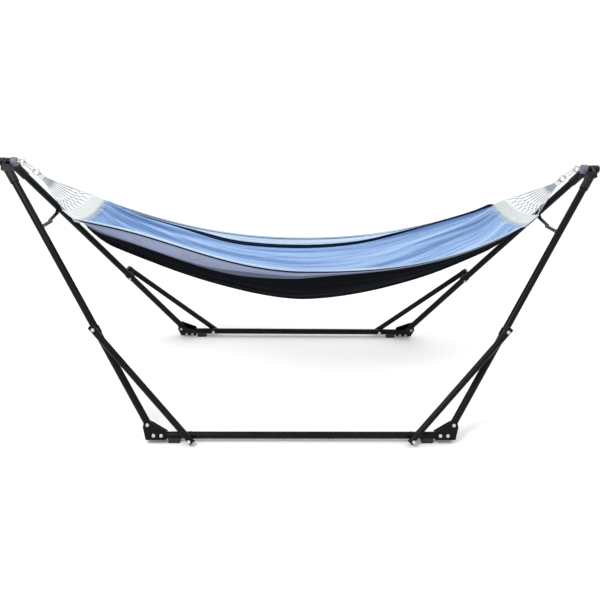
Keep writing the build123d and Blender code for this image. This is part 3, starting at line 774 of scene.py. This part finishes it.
def zincPlate():
    # bright zinc: blotchy passivation, fine scratches, darker in the worn places
    mat, tree, shader = material("zinc_steel", Metallic=1.0)
    grain = use(tree, skin, Fine=1500.0, Broad=300.0)
    wear = use(tree, edgeWear, Radius=0.0006, Amount=0.8, Scale=220.0)
    place = tree.nodes.new("ShaderNodeTexCoord").outputs["Object"]
    scratch = noise(tree, stretched(tree, place, (40.0, 900.0, 900.0)), 1.0, 4.0, 0.7)
    tone = mixColour(tree, grain.outputs["Patch"], (0.50, 0.51, 0.53, 1), (0.68, 0.68, 0.67, 1))
    tone = mixColour(tree, wear.outputs["Mask"], tone, (0.80, 0.80, 0.79, 1))
    tone = mixColour(tree, spread(tree, scratch, 0.62, 0.8, 0.0, 0.5), tone, (0.30, 0.30, 0.31, 1))
    tree.links.new(tone, shader.inputs["Base Color"])
    tree.links.new(spread(tree, scratch, 0.3, 0.75, 0.24, 0.44), shader.inputs["Roughness"])
    bump(tree, shader, calc(tree, "ADD", scratch, grain.outputs["Height"]), 0.18, 0.0002)
    return mat


def rubber():
    # foot pads: matt rubber with fine ribs and a pale bloom
    mat, tree, shader = material("foot_rubber", IOR=1.5, Specular_IOR_Level=0.3)
    grain = use(tree, skin, Fine=800.0, Broad=120.0)
    dirt = use(tree, dust, Amount=0.5, Scale=30.0)
    place = tree.nodes.new("ShaderNodeTexCoord").outputs["Object"]
    ribs = node(tree, "ShaderNodeTexWave", {"bands_direction": "Z"}, Vector=place, Scale=130.0,
                Distortion=0.3)
    tone = mixColour(tree, grain.outputs["Patch"], (0.012, 0.012, 0.013, 1), (0.03, 0.03, 0.031, 1))
    tone = mixColour(tree, dirt.outputs["Mask"], tone, (0.11, 0.105, 0.1, 1))
    tree.links.new(tone, shader.inputs["Base Color"])
    tree.links.new(spread(tree, grain.outputs["Patch"], 0.3, 0.7, 0.72, 0.88), shader.inputs["Roughness"])
    bump(tree, shader, calc(tree, "ADD", ribs.outputs["Fac"], grain.outputs["Height"]), 0.3, 0.0006)
    return mat


blackMoulding = {
    "dark": (0.004, 0.0045, 0.006, 1), "light": (0.009, 0.0095, 0.013, 1), "rubbed": (0.06, 0.065, 0.075, 1),
    "shine": 0.14, "rough": 0.30, "grain": 1500.0, "relief": 0.3, "wear": 0.6, "dust": 0.25,
}
greyMoulding = {
    "dark": (0.115, 0.118, 0.165, 1), "light": (0.175, 0.18, 0.24, 1), "rubbed": (0.34, 0.34, 0.39, 1),
    "shine": 0.3, "rough": 0.36, "grain": 1400.0, "relief": 0.28, "wear": 0.5, "dust": 0.15,
}
plugPlastic = {
    "dark": (0.010, 0.010, 0.011, 1), "light": (0.019, 0.019, 0.021, 1), "rubbed": (0.07, 0.07, 0.072, 1),
    "shine": 0.3, "rough": 0.46, "grain": 1100.0, "relief": 0.4, "wear": 0.5, "dust": 0.35,
}


# cloth colours; violet, slate, charcoal and iron are painted shade for the cloth's underside
yarn = {
    "pale": (0.50, 0.61, 0.73), "navy": (0.006, 0.014, 0.032),
    "violet": (0.235, 0.265, 0.38), "slate": (0.10, 0.115, 0.16),
    "blue": (0.33, 0.47, 0.71), "denim": (0.23, 0.35, 0.57), "sky": (0.43, 0.57, 0.79),
    "charcoal": (0.0016, 0.0021, 0.0034), "iron": (0.007, 0.008, 0.012),
}
stripes = {
    # distance from the front selvage in metres, yarn
    "face": [
        (0.000, "pale"), (0.004, "navy"), (0.015, "blue"), (0.100, "sky"), (0.112, "blue"), (0.215, "denim"),
        (0.226, "blue"), (0.330, "sky"), (0.356, "blue"), (0.420, "denim"), (0.428, "blue"), (0.515, "denim"),
        (0.526, "blue"), (0.575, "sky"), (0.592, "blue"), (0.660, "navy"), (0.674, "pale"),
    ],
    # under face: after the pale and navy selvage stripes, the violet, slate, charcoal and iron bands are
    # painted shade, the blue cloth's underside in shadow
    "back": [
        (0.000, "pale"), (0.004, "navy"), (0.014, "violet"), (0.030, "slate"), (0.040, "charcoal"),
        (0.150, "iron"), (0.162, "charcoal"), (0.300, "iron"), (0.330, "charcoal"), (0.620, "violet"),
        (0.660, "navy"), (0.674, "pale"),
    ],
}


def stripedCotton(name, bandList, gatherShading):
    # woven stripes on the flat map, lengthwise streaks of painted shade and painted highlight standing for
    # small gathers, uneven yarns, weave relief
    mat, tree, shader = material(name, IOR=1.45, Specular_IOR_Level=0.05)
    flat = node(tree, "ShaderNodeUVMap", {"uv_map": "flat"}).outputs[0]
    parts = node(tree, "ShaderNodeSeparateXYZ", None, Vector=flat)
    wobble = noise(tree, stretched(tree, flat, (8.0, 40.0, 1.0)), 1.0, 2.0)
    across = calc(tree, "ADD", parts.outputs["X"], spread(tree, wobble, 0.0, 1.0, -0.0006, 0.0006))
    ramp = tree.nodes.new("ShaderNodeValToRGB")
    ramp.color_ramp.interpolation = "CONSTANT"
    bands = ramp.color_ramp.elements
    while len(bands) < len(bandList):
        bands.new(0.5)
    for index, (at, colour) in enumerate(bandList):
        bands[index].position = at / cloth["flatWidth"]
        bands[index].color = (*yarn[colour], 1)
    tree.links.new(spread(tree, across, 0.0, cloth["flatWidth"]), ramp.inputs[0])
    threads = use(tree, weave, Vector=flat, Pitch=0.0012)
    warpYarn = noise(tree, stretched(tree, flat, (900.0, 9.0, 1.0)), 1.0, 3.0, 0.6)
    weftYarn = noise(tree, stretched(tree, flat, (9.0, 700.0, 1.0)), 1.0, 3.0, 0.6)
    fade = noise(tree, stretched(tree, flat, (14.0, 3.0, 1.0)), 1.0, 4.0, 0.6)
    # lengthwise streaks: painted shade (multiply) and painted highlight (soft light) for small gathers in the
    # cloth
    gatherShadeStreak = noise(tree, stretched(tree, flat, (150.0, 1.6, 1.0)), 1.0, 3.0, 0.6)
    tone = mixColour(tree, spread(tree, gatherShadeStreak, 0.48, 0.40, 0.0, gatherShading), ramp.outputs[0],
                     (0.30, 0.42, 0.60, 1), "MULTIPLY")
    tone = mixColour(tree, spread(tree, gatherShadeStreak, 0.52, 0.64, 0.0, gatherShading * 0.8), tone,
                     (0.86, 0.92, 1.0, 1), "SOFT_LIGHT")
    tone = mixColour(tree, spread(tree, warpYarn, 0.35, 0.7, 0.0, 0.30), tone,
                     (0.55, 0.62, 0.70, 1), "SOFT_LIGHT")
    tone = mixColour(tree, spread(tree, weftYarn, 0.45, 0.8, 0.0, 0.25), tone,
                     (0.10, 0.14, 0.22, 1), "MULTIPLY")
    tone = mixColour(tree, spread(tree, fade, 0.4, 0.7, 0.0, 0.18), tone, (0.75, 0.80, 0.86, 1), "SOFT_LIGHT")
    # painted shade in the hollows between threads
    tone = mixColour(tree, calc(tree, "MULTIPLY", threads.outputs["GapShade"], 0.35), tone, (0.02, 0.025, 0.04, 1))
    tree.links.new(tone, shader.inputs["Base Color"])
    tree.links.new(spread(tree, warpYarn, 0.3, 0.7, 0.74, 0.92), shader.inputs["Roughness"])
    relief = calc(tree, "ADD", threads.outputs["Height"], calc(tree, "MULTIPLY", warpYarn, 0.7))
    bump(tree, shader, relief, 0.45, 0.0004)
    return mat


def twistedCotton(name, look):
    # white cotton rope: fibre streaks that follow the lay on the piece's own map, with painted shade in the
    # grooves between strands
    mat, tree, shader = material(name, Sheen_Weight=0.3, Sheen_Roughness=0.45, IOR=1.45,
                                 Specular_IOR_Level=0.25)
    flat = node(tree, "ShaderNodeUVMap", {"uv_map": "flat"}).outputs[0]
    parts = node(tree, "ShaderNodeSeparateXYZ", None, Vector=flat)
    turn = calc(tree, "MULTIPLY", parts.outputs["Y"], 1 / look["pitch"])
    lay = calc(tree, "FRACT", calc(tree, "MULTIPLY", calc(tree, "SUBTRACT", parts.outputs["X"], turn), 3.0))
    groove = spread(tree, calc(tree, "ABSOLUTE", calc(tree, "SUBTRACT", lay, 0.5)), 0.30, 0.5)
    place = tree.nodes.new("ShaderNodeTexCoord").outputs["Object"]
    fibre = noise(tree, place, 1800.0, 3.0, 0.6)
    soil = noise(tree, place, 18.0, 4.0, 0.6)
    tone = mixColour(tree, fibre, look["shade"], look["white"])
    # painted shade: the grooves between strands go grey
    tone = mixColour(tree, calc(tree, "MULTIPLY", groove, 0.55), tone, look["groove"])
    tone = mixColour(tree, spread(tree, soil, 0.5, 0.75, 0.0, 0.35), tone, look["soil"])
    tree.links.new(tone, shader.inputs["Base Color"])
    tree.links.new(spread(tree, fibre, 0.3, 0.7, 0.74, 0.92), shader.inputs["Roughness"])
    relief = calc(tree, "SUBTRACT", calc(tree, "MULTIPLY", fibre, 0.6), groove)
    bump(tree, shader, relief, 0.5, 0.0005)
    return mat


# groove is a painted shade colour for the hollows between strands
braidWhite = {
    "white": (0.80, 0.84, 0.82, 1), "shade": (0.60, 0.64, 0.64, 1), "groove": (0.16, 0.18, 0.18, 1),
    "soil": (0.60, 0.60, 0.54, 1), "pitch": 0.014,
}
cordWhite = {
    "white": (0.44, 0.50, 0.54, 1), "shade": (0.30, 0.36, 0.41, 1), "groove": (0.10, 0.12, 0.14, 1),
    "soil": (0.34, 0.37, 0.38, 1), "pitch": 0.011,
}

finishes = {
    "black_powder_coat": paintedSteel(),
    "black_moulding": moulded("black_moulding", blackMoulding),
    "grey_moulding": moulded("grey_moulding", greyMoulding),
    "plug_plastic": moulded("plug_plastic", plugPlastic),
    "zinc_steel": zincPlate(),
    "foot_rubber": rubber(),
    "striped_cotton": stripedCotton("striped_cotton", stripes["face"], 0.5),
    "underside_painted_shade_cotton": stripedCotton("underside_painted_shade_cotton", stripes["back"], 0.3),
    "white_braid": twistedCotton("white_braid", braidWhite),
    "clew_cord": twistedCotton("clew_cord", cordWhite),
}
zincNodes = ("bolts", "nuts", "rivet", "carabiner", "ring", "apex_pin")


def finishFor(nodeName):
    if "head" in nodeName or nodeName == "hub_caps":
        return finishes["black_moulding"]
    if nodeName == "hub_collars":
        return finishes["grey_moulding"]
    if "plug" in nodeName:
        return finishes["plug_plastic"]
    if "feet" in nodeName:
        return finishes["foot_rubber"]
    if any(word in nodeName for word in zincNodes):
        return finishes["zinc_steel"]
    return finishes["black_powder_coat"]


for nodeName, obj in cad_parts.items():
    obj.data.materials.clear()
    obj.data.materials.append(finishFor(nodeName))
for obj in [*cords, netKnots, ringLoops]:
    obj.data.materials.append(finishes["clew_cord"])
for obj in [*endBraids, edgeCords, lacing, windings]:
    obj.data.materials.append(finishes["white_braid"])
# the under face carries the painted shade finish, the upper face the blue stripes
hammockCloth.data.materials.append(finishes["underside_painted_shade_cotton"])
hammockCloth.data.materials.append(finishes["striped_cotton"])
sideHems.data.materials.append(finishes["striped_cotton"])
print("finishes on")

studio = {
    "floor": (0.95, 0.95, 0.95, 1),
    "floorPatch": (0.97, 0.97, 0.97, 1),
    "floorHalf": 90,
    "sky": (1.0, 1.0, 1.0, 1),
    "skyStrength": 1.06,
    "key": {"place": (-1.6, -1.8, 3.2), "size": 1.3, "power": 60.0},
    "fill": {"place": (2.4, 1.2, 2.6), "size": 2.6, "power": 20.0},
}


def makeFloor():
    side = np.linspace(-studio["floorHalf"], studio["floorHalf"], 25)
    x, y = np.meshgrid(side, side, indexing="ij")
    points = np.stack([x, y, np.full_like(x, -0.0005)], -1).reshape(-1, 3)
    floor = meshFrom("floor", points, gridFaces(25, 25)[:, ::-1])
    mat, tree, shader = material("floor", Roughness=0.9, Specular_IOR_Level=0.1)
    place = tree.nodes.new("ShaderNodeTexCoord").outputs["Object"]
    tone = mixColour(tree, noise(tree, place, 3.0), studio["floor"], studio["floorPatch"])
    tree.links.new(tone, shader.inputs["Base Color"])
    floor.data.materials.append(mat)
    return floor


def areaLight(name, place, size, power, aim=(0, 0, 0.5)):
    data = bpy.data.lights.new(name, "AREA")
    data.shape = "DISK"
    data.size = size
    data.energy = power
    lamp = bpy.data.objects.new(name, data)
    bpy.context.scene.collection.objects.link(lamp)
    lamp.location = place
    lamp.rotation_euler = (Vector(aim) - Vector(place)).to_track_quat("-Z", "Y").to_euler()
    return lamp


makeFloor()
world = bpy.data.worlds.new("studio")
world.use_nodes = True
world.node_tree.nodes["Background"].inputs["Color"].default_value = studio["sky"]
world.node_tree.nodes["Background"].inputs["Strength"].default_value = studio["skyStrength"]
bpy.context.scene.world = world
for lampName in ("key", "fill"):
    areaLight(lampName, **studio[lampName])
bpy.context.scene.view_settings.view_transform = "Standard"
print("studio lit")

bpy.context.view_layer.update()
